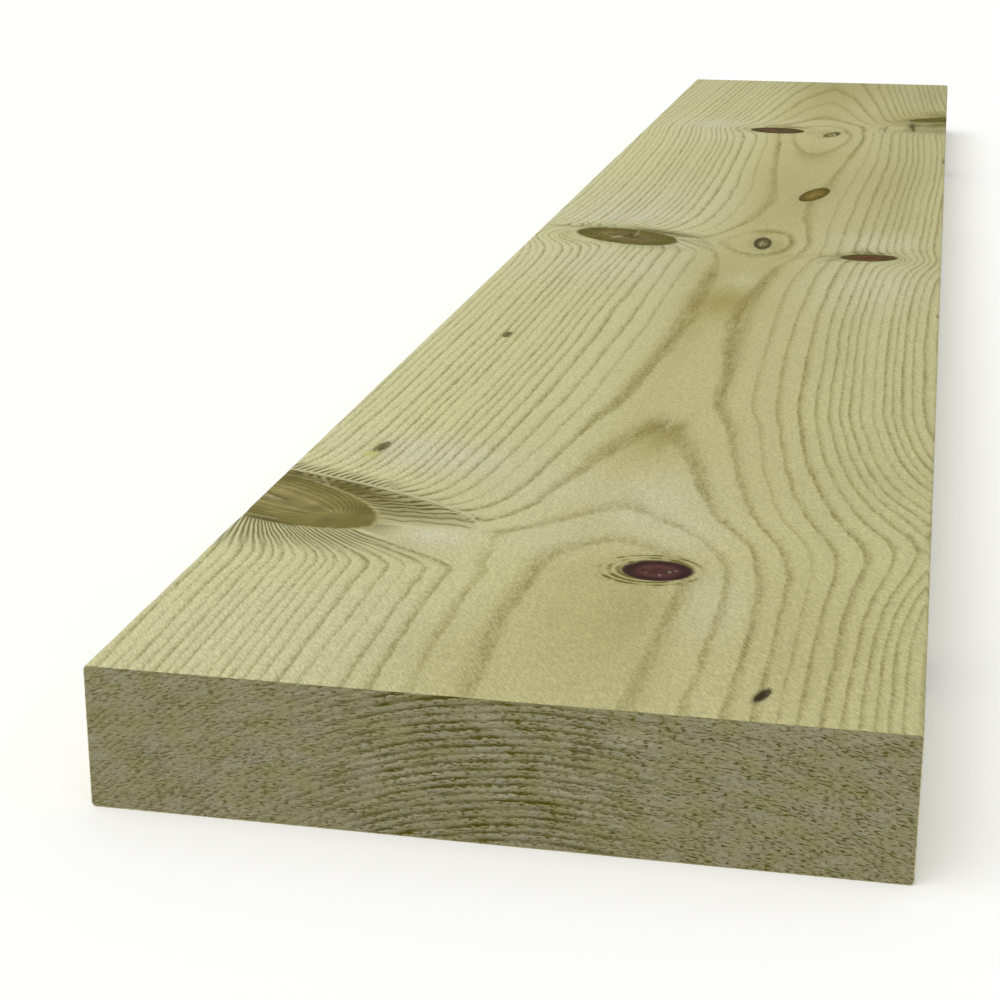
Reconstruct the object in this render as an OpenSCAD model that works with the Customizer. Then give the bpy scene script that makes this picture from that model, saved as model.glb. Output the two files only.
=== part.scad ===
// Flat-sawn softwood plank, one piece of stock, lying on its wide face.
// X runs across the width, Y along the length and Z up. The origin is on the
// floor, under the middle of the plank.

/* [Section] */
// Width across the wide face
plank_w = 250; // [75:1:300]
// Thickness between the two wide faces
plank_t = 47; // [16:1:100]
// Radius of the four eased arrises that run the length
arris_r = 1.5; // [0.5:0.1:6]

/* [Length] */
// Length between the two sawn ends
plank_l = 1600; // [300:10:6000]
// Flat broken off the rim of each sawn end
end_break = 0.4; // [0.1:0.1:3]

/* [Hidden] */
// The arris is a true arc, so its step count only sets how a preview looks
arris_steps = 48;
timber = "#bdb783";

// Rectangle with rounded corners, centred on the origin: two bars that cross,
// and a disc in each corner.
module eased_section(w, t, r) {
    square([w - 2 * r, t], center = true);
    square([w, t - 2 * r], center = true);
    for (side = [-1, 1], face = [-1, 1])
        translate([side * (w / 2 - r), face * (t / 2 - r)])
            circle(r, $fn = arris_steps);
}

// Rectangle with its four corners cut off at 45 degrees, centred on the origin.
module broken_outline(across, along, cut) {
    u = across / 2;
    v = along / 2;
    polygon([
        [-u, -v + cut], [-u + cut, -v], [u - cut, -v], [u, -v + cut],
        [u, v - cut], [u - cut, v], [-u + cut, v], [-u, v - cut]
    ]);
}

// The stock as it leaves the planer: the eased section, run out along Y.
module planed_stock() {
    rotate([90, 0, 0])
        linear_extrude(plank_l, center = true)
            eased_section(plank_w, plank_t, arris_r);
}

// The room inside the broken rims of both ends. The outline seen from above
// breaks the upright edges of each end, and the outline seen from the side
// breaks the top and bottom edges.
module inside_broken_rims() {
    intersection() {
        linear_extrude(plank_t, center = true)
            broken_outline(plank_w, plank_l, end_break);
        rotate([0, 90, 0])
            linear_extrude(plank_w, center = true)
                broken_outline(plank_t, plank_l, end_break);
    }
}

module plank() {
    color(timber)
        translate([0, 0, plank_t / 2])
            intersection() {
                planed_stock();
                inside_broken_rims();
            }
}

plank();
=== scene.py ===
# %% [markdown]
# A length of sawn and planed softwood, lying flat. The real thing is one piece of stock, so the
# model is one piece too. The lesson grows the wood first, as rings round a pith with branches
# running out of it, and then cuts the board's surface through that wood. Whatever shows on a
# face, an edge or an end is then the same ring or the same knot.

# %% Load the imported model
import math
import bpy
import numpy as np
from mathutils import Matrix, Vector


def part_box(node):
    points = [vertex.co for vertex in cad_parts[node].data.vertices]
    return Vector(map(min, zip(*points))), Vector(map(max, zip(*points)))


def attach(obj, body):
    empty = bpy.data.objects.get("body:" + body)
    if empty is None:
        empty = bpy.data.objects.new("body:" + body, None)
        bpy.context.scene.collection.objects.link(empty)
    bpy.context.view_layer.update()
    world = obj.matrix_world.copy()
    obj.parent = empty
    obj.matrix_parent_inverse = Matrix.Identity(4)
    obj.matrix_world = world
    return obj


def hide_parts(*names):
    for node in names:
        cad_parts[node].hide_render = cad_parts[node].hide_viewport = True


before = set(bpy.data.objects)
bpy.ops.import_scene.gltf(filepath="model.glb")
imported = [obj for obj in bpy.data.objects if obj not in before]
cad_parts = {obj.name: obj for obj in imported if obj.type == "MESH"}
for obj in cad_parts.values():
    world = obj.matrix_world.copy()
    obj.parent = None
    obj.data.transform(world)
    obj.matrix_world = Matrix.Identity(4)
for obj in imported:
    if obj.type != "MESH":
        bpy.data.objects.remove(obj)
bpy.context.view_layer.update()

board_low, board_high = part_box("plank")
WIDTH, LENGTH, THICK = [1000.0 * (b - a) for a, b in zip(board_low, board_high)]
print("board", round(WIDTH), "x", round(LENGTH), "x", round(THICK), "mm")

# %% [markdown]
# All the growing below is written in millimetres, as a joiner measures: across from the left
# edge, along from the near end and up from the underside. The trunk's pith lay about 180 mm
# below the top face, off centre, so the saw met the rings nearly flat in the middle of the
# board and steeply at its edges. That gives the wide flames in the middle and the close
# straight lines beside them. The stations say where the pith was and how far the rings had
# grown, one row for each change along the board. The years are ring widths, oldest first.

# %% The trunk: yearly growth and the line of its pith
INNER_YEARS = [2.6, 2.7, 2.6, 2.7, 2.6, 2.5, 2.6, 2.7, 2.5, 2.6, 2.7,
               2.4, 2.5, 2.7, 2.6, 2.3, 2.6, 2.8, 2.5, 2.6, 2.4, 2.7]
OUTER_YEARS = [2.8, 2.9, 2.5, 2.3, 2.2, 2.8, 2.4, 2.1, 1.8, 1.6, 1.8, 2.5, 2.2, 1.8,
               2.1, 2.4, 2.7, 2.9, 2.9, 2.3, 2.3, 2.2, 3.0, 3.2, 2.8, 2.6, 2.4, 2.6]
FIRST_RING = 181.5
RING_RADII = FIRST_RING + np.concatenate(
    [-np.cumsum(INNER_YEARS[::-1])[::-1], [0.0], np.cumsum(OUTER_YEARS)])
RING_NUMBERS = np.arange(len(RING_RADII)) - len(INNER_YEARS)
TRUNK = [  # along, pith across, pith below the top, trunk radius over the pith
    (-50, 141.5, 180.0, 180.0), (76, 141.0, 180.0, 179.6), (121, 140.5, 180.0, 180.2),
    (148, 140.0, 180.0, 181.5), (190, 138.0, 180.5, 184.3), (303, 136.0, 181.0, 187.2),
    (343, 135.0, 181.0, 188.2), (520, 135.5, 181.0, 189.2), (618, 137.5, 181.0, 189.0),
    (727, 143.0, 182.0, 188.6), (870, 148.0, 184.0, 189.2), (989, 149.5, 183.0, 188.5),
    (1070, 149.8, 182.0, 187.7), (1231, 147.0, 182.5, 187.6), (1322, 145.0, 183.0, 189.82),
    (1433, 143.6, 184.0, 192.0), (1572, 143.0, 185.0, 194.75), (1675, 143.0, 185.0, 196.0)]
RIDGE = [  # along, mm that the rings are raised in the middle
    (-50, 0.4), (330, 0.4), (430, 0.0), (1340, 0.0), (1420, 0.5), (1560, 0.9), (1700, 0.9)]


def smooth_between(at, stations, values):
    """Runs through the stations with no corner and no overshoot."""
    stations = np.asarray(stations, float)
    values = np.asarray(values, float)
    gap = np.diff(stations)
    slope = np.diff(values) / gap
    lean = np.zeros(len(values))
    for i in range(1, len(values) - 1):
        if slope[i - 1] * slope[i] > 0:
            lean[i] = 2.0 / (1.0 / slope[i - 1] + 1.0 / slope[i])
    at = np.clip(at, stations[0], stations[-1])
    i = np.clip(np.searchsorted(stations, at) - 1, 0, len(gap) - 1)
    t = (at - stations[i]) / gap[i]
    rest = 1.0 - t
    return (values[i] * (1 + 2 * t) * rest ** 2 + values[i + 1] * t * t * (3 - 2 * t)
            + gap[i] * (lean[i] * t * rest ** 2 - lean[i + 1] * t * t * rest))


def trunk_at(y):
    """Pith across, pith height over the underside, and trunk radius, at y along the board."""
    along, *columns = zip(*TRUNK)
    across, depth, radius = [smooth_between(y, along, column) for column in columns]
    return across, THICK - depth, radius


print("years counted", len(INNER_YEARS) + len(OUTER_YEARS), "radii",
      round(RING_RADII[0], 1), "to", round(RING_RADII[-1], 1), "mm")

# %% [markdown]
# A branch starts at the pith and runs out and up the tree. Where the board cuts it, it shows
# as a knot, and the rings beside it are swept into it. Below a knot the rings close in on it
# like a fan. Above it they run level into the bark side, and a pale seam marks where they
# turn. Around the outer side they part, as water does round a stone. Each sweep below says
# where one branch gathers the rings, and each swelling lifts them where the trunk was thicker.
# The near end of the board is the lower one in the tree, so "above" is towards the far end.

# %% Branches: where they gather the rings
SWEEPS = [  # side +1 gathers from the right, -1 from the left; root and tip in mm
    dict(name="left edge knot", side=1, root=-4, tip=(90.5, 149.5),
         up=61.5, turn=1.85, fan=46, pull=1.5, lead=12, lead_len=14, lean=0.0,
         size=40, tall=26, boldness=1.0, seam=1.0, fringe=1.0),
    dict(name="olive knot", side=1, root=57, tip=(113, 728),
         up=30, turn=1.35, fan=42, pull=0.9, lead=18, lead_len=20, lean=0.0,
         size=37, tall=22, boldness=0.45, seam=0.35, fringe=0.35),
    dict(name="red knot", side=-1, root=208, tip=(186, 690),
         up=17, turn=1.5, fan=22, pull=0.5, lead=3, lead_len=8, lean=-0.10,
         size=17, tall=12.5, boldness=0.5, seam=0.0, fringe=0.2),
    dict(name="far brown knot", side=1, root=111, tip=(146, 1240),
         up=26, turn=1.4, fan=40, pull=0.8, lead=8, lead_len=14, lean=0.10,
         size=22, tall=18, boldness=0.15, seam=0.3, fringe=0.25),
    dict(name="right edge whorl", side=-1, root=272, tip=(196, 1274),
         up=34, turn=1.6, fan=44, pull=1.3, lead=10, lead_len=24, lean=0.70,
         size=28, tall=22, boldness=0.2, seam=0.2, fringe=0.6)]
FRINGE = [4.7, 11.2, 16.8, 22.2, 26.2, 30.0, 33.6, 37.0, 40.0, 42.6, 45.0, 47.2, 49.2, 51.2, 53.0,
          54.8, 56.6]  # mm of each stroke above the tip
SWELLINGS = [  # across, along, rise, half-width across, half-width near side, far side
    (142, 726, 3.6, 26, 42, 42),
    (154, 1204, 3.0, 34, 75, 66),
    (160, 121, 0.9, 26, 30, 30),
    (285, 176, 18, 55, 62, 75)]
CLIMB = 80.0  # mm that a branch climbs from the pith to the top face
print("branches", len(SWEEPS), "swellings", len(SWELLINGS), "fringe strokes", len(FRINGE))


def soft_step(v):
    """0 below 0, 1 above 1, and a soft rise between."""
    v = np.clip(v, 0.0, 1.0)
    return v * v * (3.0 - 2.0 * v)


def soft_max(a, b, blend):
    """The larger of two, with the corner rounded."""
    h = np.clip(0.5 + 0.5 * (a - b) / blend, 0.0, 1.0)
    return a * h + b * (1.0 - h) + blend * h * (1.0 - h)


def seen_from_top(x, y, z, knot_y):
    """Follows a branch up to the top face: where the same bit of it shows there."""
    across, height, _ = trunk_at(y)
    share = (z - height) / (THICK - height)
    x_top = across + (x - across) / share
    y_top = knot_y + (y - (knot_y - CLIMB * (1.0 - share))) / share
    return x_top, y_top, share


# %% Bend the rings round one branch
def swept(x, y, branch):
    """Says what one branch does at x, y. moved: where the ring there would lie without it. bold
    and shade: how bold its lines are and how dark the wood is between them. seam_gap and seam:
    the distance to the seam and where it shows. stroke_at and fringe: the count of fringe
    strokes and where they show. crowd, and lash_at and lashed: the same for crowded lines."""
    side = branch["side"]
    q = y - branch["tip"][1]
    p = side * (x - branch["root"])
    reach = side * (branch["tip"][0] - branch["root"])
    inboard = np.clip(p, 0.0, None)
    fade = np.exp(-(np.clip(p - reach, 0.0, None) / 26.0) ** 2)
    lead, lead_len = branch["lead"], branch["lead_len"]
    # Below: a fan that closes in on the knot
    grow = branch["pull"] * np.clip(1.0 + q / branch["fan"], 0.0, None) ** 2
    fanned = p + grow * inboard
    cap = soft_max(p, reach, 8.0) + lead * fade * np.exp(np.minimum(q, 0) / (2 * lead_len))
    below = np.maximum(-soft_max(-fanned, -cap, 9.0), p)
    # Above: a seam, and level rings that run in waves from it into the knot
    up, turn = branch["up"], branch["turn"]
    crest = q - branch["lean"] * np.clip(reach - p, 0.0, None)
    seam = reach * (1.0 - np.clip(crest / up, 0.0, 1.0) ** turn)
    rise = crest - up * np.clip(1.0 - inboard / reach, 0.0, 1.0) ** (1.0 / turn)
    wave = 1.6 * np.sin(p / 3.6 + 0.12 * crest) + 0.8 * np.sin(p / 1.9 + 1.0)
    wave = wave * soft_step((seam - p) / 14.0) * (reach / 90.0)
    level_year = reach * (1.0 - np.clip((crest + wave) / up, 0.0, 1.0) ** turn)
    led = lead * fade * np.exp(-np.clip(rise, 0, None) / lead_len)
    above = np.where(p < seam, level_year, p) + led
    # Outer side: the rings part round the knot
    ring = (p / branch["size"]) ** 2 + ((q + branch["lean"] * p) / branch["tall"]) ** 2
    parted = p * (1.0 - 0.85 / np.maximum(ring, 1.0))
    gather = soft_step((p + 0.75 * branch["size"]) / (0.75 * branch["size"]))
    below = np.where(p < 0, parted, below)
    above = np.where(p < 0, parted + (level_year + led) * gather, above)
    level = soft_step((seam - p) / 1.2) * soft_step(crest / 3.0) * soft_step((up - crest) / 3.0)
    level = level * gather
    # Fringe: waving strokes between the seam and the knot, closer together further up
    inward = np.clip(seam - p, 0.0, None)
    ripple = 1.1 * np.sin(inward / 2.1 + 0.05 * crest) + 0.12 * np.sin(inward / 0.9 + 1.0)
    slant = np.clip((crest - 11.0) / 70.0, -0.16, 0.20)
    ripple = ripple * soft_step(inward / 9.0) + slant * np.minimum(inward, 16.0)
    ripple = ripple + 4.5 * np.exp(-inward / 10.0) * soft_step((15.0 - crest) / 11.0)
    stroke_at = np.interp((crest + ripple) * 61.5 / up, [-8.3, -1.8, *FRINGE, 90.0],
                          [-2, -1, *range(len(FRINGE)), 22.5])
    fringe = level * branch["fringe"] * (0.55 + 0.45 * soft_step((crest - 8.0) / 16.0))
    lash = (0.55 + 0.45 * soft_step((62.0 - p) / 24.0)) * fade * soft_step((13.0 - rise) / 9.0)
    comb = 0.65 * soft_step((q / branch["fan"] + 1.10) / 0.75) * soft_step((cap - fanned) / 8.0)
    outer_fade = soft_step((p + branch["size"]) / (0.6 * branch["size"]))
    bold = np.where(crest > 0, lash, comb) * outer_fade
    shade = level * np.exp(-(p / (0.75 * reach)) ** 2)
    seam_show = soft_step((reach + 2.0 - p) / 4.0) * soft_step((crest + 2.0) / 3.0)
    seam_show = seam_show * soft_step((up + 1.0 - crest) / 4.0) * soft_step((p + 6.0) / 4.0)
    # Crowded lines: beside the knot three lines show for every two years in the fan below, and
    # short steep lashes stand on the seam above
    lashes = soft_step((13.0 - rise) / 10.0) * (rise > 0.4) * soft_step((60.0 - p) / 20.0) * fade
    fan_lines = 0.80 * soft_step((q / branch["fan"] + 0.85) / 0.5) * soft_step((72.0 - p) / 20.0)
    beside = soft_step((p + 3.0) / 6.0) * branch["fringe"]
    crowd = np.where(crest > 0, 0.0, fan_lines) * beside
    lashed = np.where(crest > 0, 0.9 * lashes, 0.0) * beside
    lash_at = (p - 0.42 * np.clip(rise, -4.0, 30.0)) / 2.9
    moved = branch["root"] + side * np.where(crest > 0, above, below)
    return dict(moved=moved, bold=bold * branch["boldness"], shade=shade * branch["boldness"],
                seam_gap=0.75 * rise, seam=seam_show * branch["seam"], stroke_at=stroke_at,
                fringe=fringe, crowd=crowd, lashed=lashed, lash_at=lash_at)


for branch in SWEEPS:
    tip_x, tip_y = branch["tip"]
    moved = swept(np.array([tip_x]), np.array([tip_y - 10.0]), branch)["moved"][0] - tip_x
    print("below its tip the", branch["name"], "draws in rings from", round(float(moved), 1), "mm")


# %% Number the ring at any place
def ring_number(x, y, z):
    """The year whose wood is at x, y, z, where whole numbers are the dark lines between years,
    and what swept() says of all branches together."""
    across, height, radius = trunk_at(y)
    ring_x = x
    told = {name: np.zeros_like(x) for name in ("bold", "shade", "seam", "fringe", "crowd",
                                                "lashed", "lash_at")}
    told["seam_gap"] = np.full_like(x, 30.0)
    told["stroke_at"] = np.full_like(x, 0.5)
    for branch in SWEEPS:
        x_top, y_top, share = seen_from_top(ring_x, y, z, branch["tip"][1])
        here = swept(x_top, y_top, branch)
        ring_x = across + (here["moved"] - across) * share
        for shows, count in (("seam", "seam_gap"), ("fringe", "stroke_at"), ("lashed", "lash_at")):
            told[count] = np.where(here[shows] > told[shows], here[count], told[count])
        for name in ("bold", "shade", "seam", "fringe", "crowd", "lashed"):
            told[name] = np.maximum(told[name], here[name])
    off = ring_x - across
    r = np.hypot(off, z - height) * radius / (THICK - height)
    ridge = smooth_between(y, *zip(*RIDGE))
    r = r + ridge * (1.0 - np.exp(-(np.hypot(off, 3.0) - 3.0) / 8.0)) * np.exp(-(off / 24.0) ** 2)
    for mid_x, mid_y, rise, wide, near_side, far_side in SWELLINGS:
        x_top, y_top, _ = seen_from_top(x, y, z, mid_y)
        along = y_top - mid_y
        along = along / np.where(along > 0, far_side, near_side)
        r = r - rise * np.exp(-((x_top - mid_x) / wide) ** 2 - along ** 2)
    return np.interp(r, RING_RADII, RING_NUMBERS), told


sample, _ = ring_number(np.array([5.0, 125.0, 245.0]), np.full(3, 20.0), np.full(3, THICK))
print("rings at the left, middle and right of the near end", np.round(sample, 1))

# %% [markdown]
# The knots themselves. A live knot is grown into the wood and shows fine rings of its own. A
# dead one is darker, and bark parts it from the wood with a dark rim. Each gets its middle,
# half sizes and tilt on the top face, the colour of its heart, how many rings it shows, how
# dark its rim is, and how strongly the wood round it is ringed. A deep one is a whole branch,
# so it shows on the sides and the underside as well.

# %% The knots
KNOTS = [
    dict(name="left edge knot", at=(1.5, 175.6), half=(57, 23.5), tilt=-31, heart="#8c824f",
         edge="#756c38", deep=True, rings=0.8, rim=-0.5, halo=0.0, streak=0.62,
         sunk=0.0),
    dict(name="purple knot", at=(158.8, 120.6), half=(12.2, 10.3), tilt=4, heart="#55332f",
         edge="#38211c", rings=0.2, rim=0.5, halo=1.0, deep=True, sunk=0.35),
    dict(name="resin spot", at=(28.2, 246.5), half=(2.4, 8.0), tilt=-8, heart="#7d7750",
         edge="#7d7750", rings=0.0, rim=0.15, halo=0.0, deep=False, sunk=0.2),
    dict(name="near dot", at=(203.2, 19.4), half=(1.7, 5.4), tilt=-18, heart="#4a4030",
         edge="#5c5236", rings=0.0, rim=0.4, halo=0.0, deep=False, sunk=0.3),
    dict(name="small knot", at=(38.2, 453.5), half=(2.0, 5.6), tilt=0, heart="#7a704a",
         edge="#6a603c", rings=0.4, rim=0.3, halo=0.3, deep=True, sunk=0.2),
    dict(name="olive knot", at=(57.7, 729.8), half=(37, 22), tilt=-32, heart="#716536",
         edge="#625a20", rings=0.36, rim=0.1, halo=0.0, deep=True, streak=0.45, sunk=0.0),
    dict(name="ringed knot", at=(142.5, 724), half=(5.0, 18.0), tilt=3, heart="#726a3a",
         edge="#4a421e", rings=0.45, rim=0.8, halo=0.3, deep=True, sunk=0.2),
    dict(name="red knot", at=(208.0, 691.5), half=(16.5, 10.4), tilt=11, heart="#5f3c22",
         edge="#524414", rings=0.35, rim=0.5, halo=0.2, deep=True, sunk=0.3),
    dict(name="soft brown knot", at=(162.2, 912), half=(8.4, 31), tilt=-10, heart="#75651c",
         edge="#5c4c10", rings=0.18, rim=0.0, halo=0.1, deep=True, sunk=0.0),
    dict(name="far brown knot", at=(111, 1234.5), half=(23, 17.5), tilt=-12, heart="#5a4622",
         edge="#4b3a0e", rings=0.3, rim=0.15, halo=0.1, deep=True, sunk=0.2),
    dict(name="far ringed knot", at=(157.2, 1218.6), half=(5.6, 16.5), tilt=-14, heart="#857d4c",
         edge="#6a6230", rings=0.3, rim=0.25, halo=0.2, deep=True, sunk=0.2),
    dict(name="right edge whorl", at=(262, 1340), half=(49, 16), tilt=28, heart="#5c5212",
         edge="#5f5516", rings=0.3, rim=0.0, halo=0.0, deep=True, sunk=0.0),
    dict(name="hidden right knot", at=(281, 178), half=(24, 18), tilt=15, heart="#857b4a",
         edge="#6f6636", rings=0.5, rim=0.2, halo=0.3, deep=True, sunk=0.0)]


def to_linear(hex_colour):
    """An sRGB hex value as the linear numbers that Blender works in."""
    parts = [int(hex_colour[i:i + 2], 16) / 255.0 for i in (1, 3, 5)]
    return [c / 12.92 if c <= 0.04045 else ((c + 0.055) / 1.055) ** 2.4 for c in parts]


def knot_place(x, y, z, knot):
    """Position in the knot's own ellipse, where the rim is at distance 1 from its middle, and
    the distance in mm from its pith streak, which its own rings run round."""
    x_top, y_top, _ = seen_from_top(x, y, z, knot["at"][1])
    turn = math.radians(knot["tilt"])
    dx = x_top - knot["at"][0]
    dy = y_top - knot["at"][1]
    u = (dx * math.cos(turn) + dy * math.sin(turn)) / knot["half"][0]
    v = (dy * math.cos(turn) - dx * math.sin(turn)) / knot["half"][1]
    away = np.zeros_like(u)
    if not knot["deep"]:
        away = np.clip((THICK - z) / 2.0, 0.0, 20.0)
    half_streak = knot.get("streak", 0.35) * knot["half"][0]
    gap = knot["half"][0] * u
    up_gap = knot["half"][1] * v
    round_streak = 0.5 * (np.hypot(gap - half_streak, up_gap) + np.hypot(gap + half_streak, up_gap))
    return u, v, np.hypot(np.hypot(u, v), away), round_streak - half_streak


print("knots", len(KNOTS), "of which", sum(k["deep"] for k in KNOTS), "are whole branches")

# %% [markdown]
# Marks that a ring or a knot doesn't explain: drying checks, resin streaks, torn bits on the
# arris. Each is a short stroke with a width, a depth that is carved into the board, and how
# dark it is. Stains are soft patches: olive-brown where a knot has coloured the wood round it,
# brown where the saw ran along a dark ring, and pale where dense wood took less treatment.
# One faint wide olive patch at the far end is not a stain but painted shade, darkening the
# wood where less light falls.

# %% Marks and stains
MARKS = [  # from x, y to x, y on the top face, width, depth, darkness
    (223.6, 1250, 221.8, 1290, 2.0, 0.5, 0.75), (222.2, 1270, 221.0, 1300, 3.8, 0.5, 0.7),
    (221.2, 1286, 220.8, 1302, 5.4, 0.4, 0.6), (199.0, 1242, 200.8, 1280, 1.7, 0.4, 0.6),
    (61, 733, 58, 740, 2.6, 0.9, 0.75), (54, 733, 62, 731, 5.0, 0.3, 0.5),
    (62, 722, 60, 732, 3.0, 0.2, 0.3), (56, 729, 66, 727, 1.0, 0.6, 0.6),
    (157, 120, 160, 124, 1.0, 0.7, 0.7), (158, 121.5, 153, 120.5, 0.8, 0.6, 0.6),
    (142, 718, 143.4, 731, 1.0, 0.7, 0.8), (205, 691, 211, 695, 1.2, 0.8, 0.6),
    (113, 1228, 115, 1241, 2.6, 0.5, 0.35), (159.0, 1237.5, 162.0, 1221, 3.0, 0.5, 0.8),
    (162.2, 1225, 160.8, 1209, 2.0, 0.3, 0.6), (152.6, 1217, 153.8, 1202, 1.8, 0.2, 0.4),
    (117, 1262.5, 133, 1252, 2.4, 0.1, 0.35), (28.0, 241, 28.4, 250, 1.6, 0.4, 0.4),
    (201.8, 16.8, 203.4, 22.2, 2.4, 1.0, 0.9), (38.2, 449, 38.4, 458, 0.9, 0.4, 0.45),
    (202.3, 579, 203.2, 585, 1.1, 0.3, 0.5), (132.0, 945, 134.2, 949.5, 0.8, 0.3, 0.45),
    (184.0, 970, 185.8, 974, 0.8, 0.3, 0.45), (187.5, 906, 189.2, 910, 0.8, 0.3, 0.4),
    (185.0, 831, 186.6, 835, 0.8, 0.3, 0.4), (157.5, 793, 158.8, 798, 0.8, 0.3, 0.4),
    (102.0, 390, 103.6, 394, 0.8, 0.3, 0.4), (51.5, 529, 52.4, 532, 0.8, 0.3, 0.4),
    (66.5, 101.5, 67.0, 105.0, 0.8, 0.3, 0.35), (249.0, 538, 249.6, 544, 1.6, 0.8, 0.7),
    (249.0, 1085, 249.8, 1091, 1.8, 1.0, 0.95), (137.0, 296, 138.0, 312, 1.6, 0.2, 0.35),
    (0, 149.6, 24, 141.4, 2.6, 0.2, 0.5), (0, 179.5, 12, 170.5, 2.0, 0.3, 0.5),
    (0, 171, 9, 165, 1.0, 0.2, 0.4), (24, 168, 33, 162.5, 0.9, 0.2, 0.4),
    (0, 203.5, 9, 199, 1.8, 0.1, 0.5), (8, 199.5, 19, 193.5, 1.2, 0.1, 0.35),
    (15.8, 759, 15.1, 767, 2.2, 0.1, 0.5), (24.3, 760, 23.5, 770, 2.4, 0.1, 0.55),
    (29.8, 762, 25.4, 774, 1.8, 0.1, 0.5), (34.9, 760, 35.2, 769, 2.0, 0.1, 0.5),
    (45.4, 760, 44.6, 767, 2.0, 0.1, 0.4), (5.5, 758, 15.5, 760.5, 1.8, 0.1, 0.45),
    (60, 757, 77, 750.5, 4.4, 0.1, 0.6), (73, 752, 98.5, 738, 4.6, 0.1, 0.6),
    (97, 739, 106, 727, 1.4, 0.1, 0.35), (198.0, 712, 202, 703.5, 1.8, 0.1, 0.5),
    (203, 714, 205.5, 704, 1.4, 0.1, 0.45), (206.4, 713, 209.4, 705, 2.2, 0.1, 0.55),
    (212.5, 712, 215, 704.5, 1.2, 0.1, 0.35), (178, 689, 191, 693, 1.3, 0.1, 0.4),
    (179, 675, 194, 683, 1.3, 0.1, 0.4), (184, 680.5, 193, 686, 1.0, 0.1, 0.35)]
PALE_MARKS = [  # from x, y to x, y, width, strength
    (3, 211, 14.5, 205.5, 1.4, 0.3), (14, 206, 22.5, 190, 1.3, 0.25),
    (0, 152, 15, 147.5, 1.2, 0.35), (89.5, 729, 91, 718, 1.3, 0.4), (91, 718.5, 87, 708, 1.0, 0.25),
    (1, 175, 5, 173, 2.4, 0.35), (4, 172.5, 9, 170, 1.0, 0.4), (141.6, 716, 141.8, 731, 1.4, 0.45),
    (143.6, 721, 143.2, 728, 1.2, 0.5), (160.0, 1210, 159.6, 1225, 1.3, 0.6),
    (162.5, 121.6, 163.4, 119.4, 1.0, 0.35), (164.6, 122.6, 165.4, 121, 0.7, 0.3),
    (159.8, 117.8, 160.2, 115.8, 0.8, 0.3), (154.6, 119.0, 155.2, 118.0, 0.7, 0.25),
    (49, 724, 55, 731, 4.0, 0.45), (61, 731, 64, 741, 1.2, 0.35), (160, 900, 162, 918, 2.4, 0.15),
    (62.5, 733, 62.5, 756, 1.0, 0.3), (28.4, 238, 26.8, 243, 1.2, 0.3)]
FAINT = [  # where the lines nearly vanish: x, y, half sizes, tilt, strength
    (163, 60, 6, 60, 0, 0.55), (168, 150, 14, 18, -40, 0.6), (119, 724, 9, 34, 0, 1.0),
    (130, 756, 13, 13, 0, 0.9), (120, 692, 12, 8, 0, 0.5), (60, 1270, 30, 30, 0, 0.3),
    (155, 300, 20, 40, 0, 0.3), (100, 137, 16, 10, 0, 0.6), (45, 40, 55, 95, 0, 0.28),
    (125, 1200, 16, 22, 0, 0.7)]
OLIVE_STAINS_AND_FAR_SHADE = [  # x, y, half sizes, tilt, strength
    (133.8, 296, 2.6, 13, 9, 0.4), (142.6, 296, 2.6, 13, -9, 0.35), (33, 188, 17, 8, -35, 0.7),
    (44, 180, 15, 8, -35, 0.55), (4, 206, 12, 6, -30, 0.35), (12, 146, 26, 6, -14, 0.45),
    (56, 172, 16, 10, -35, 0.45), (68, 163, 14, 9, -35, 0.25), (30, 132, 30, 9, 0, 0.2),
    (66, 128, 16, 10, -35, 0.15), (30, 757, 26, 4.5, -3, 0.55), (78, 748, 24, 6, -30, 0.8),
    (28, 726, 10, 16, 30, 0.2), (72, 702, 30, 8, -18, 0.3), (207, 705, 12, 4, 10, 0.6),
    (190, 690, 7, 8, 0, 0.4), (216, 693, 9, 8, 0, 0.5), (122, 1258, 15, 4.5, -28, 0.6),
    (108, 1264, 12, 6, -10, 0.3), (97, 1228, 14, 14, 0, 0.2), (86, 1240, 10, 12, 0, 0.25),
    (222, 1278, 5, 26, -4, 0.8), (244, 1254, 7, 14, 0, 0.45), (234, 1332, 25, 11, 32, 1.0),
    (248, 1342, 10, 19, 0, 1.0), (245, 1302, 8, 14, -30, 1.0), (232, 1318, 24, 13, 20, 0.65),
    (242, 1365, 14, 24, -10, 0.55), (212, 1312, 12, 12, 30, 0.4), (244, 1296, 9, 16, -10, 0.8),
    (222, 1297, 14, 4, 20, 0.4), (158.7, 121, 16, 14, 0, 0.25), (150, 112, 8, 12, 20, 0.25),
    (157, 88, 8, 26, 0, 0.22), (28, 240, 5, 12, 0, 0.15), (162.5, 905, 10, 38, -12, 0.25),
    (157, 1212, 8, 22, -14, 0.2), (142.7, 722, 9, 24, 8, 0.2), (232, 240, 22, 34, 20, 0.10),
    # painted shade: the faint wide patch at 165, 1560 darkens the far end, for light falling off there,
    # not a stain
    (235, 1255, 26, 10, 10, 0.2), (165, 1560, 90, 50, 0, 0.12), (235, 1500, 24, 120, 0, 0.12)]
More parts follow.
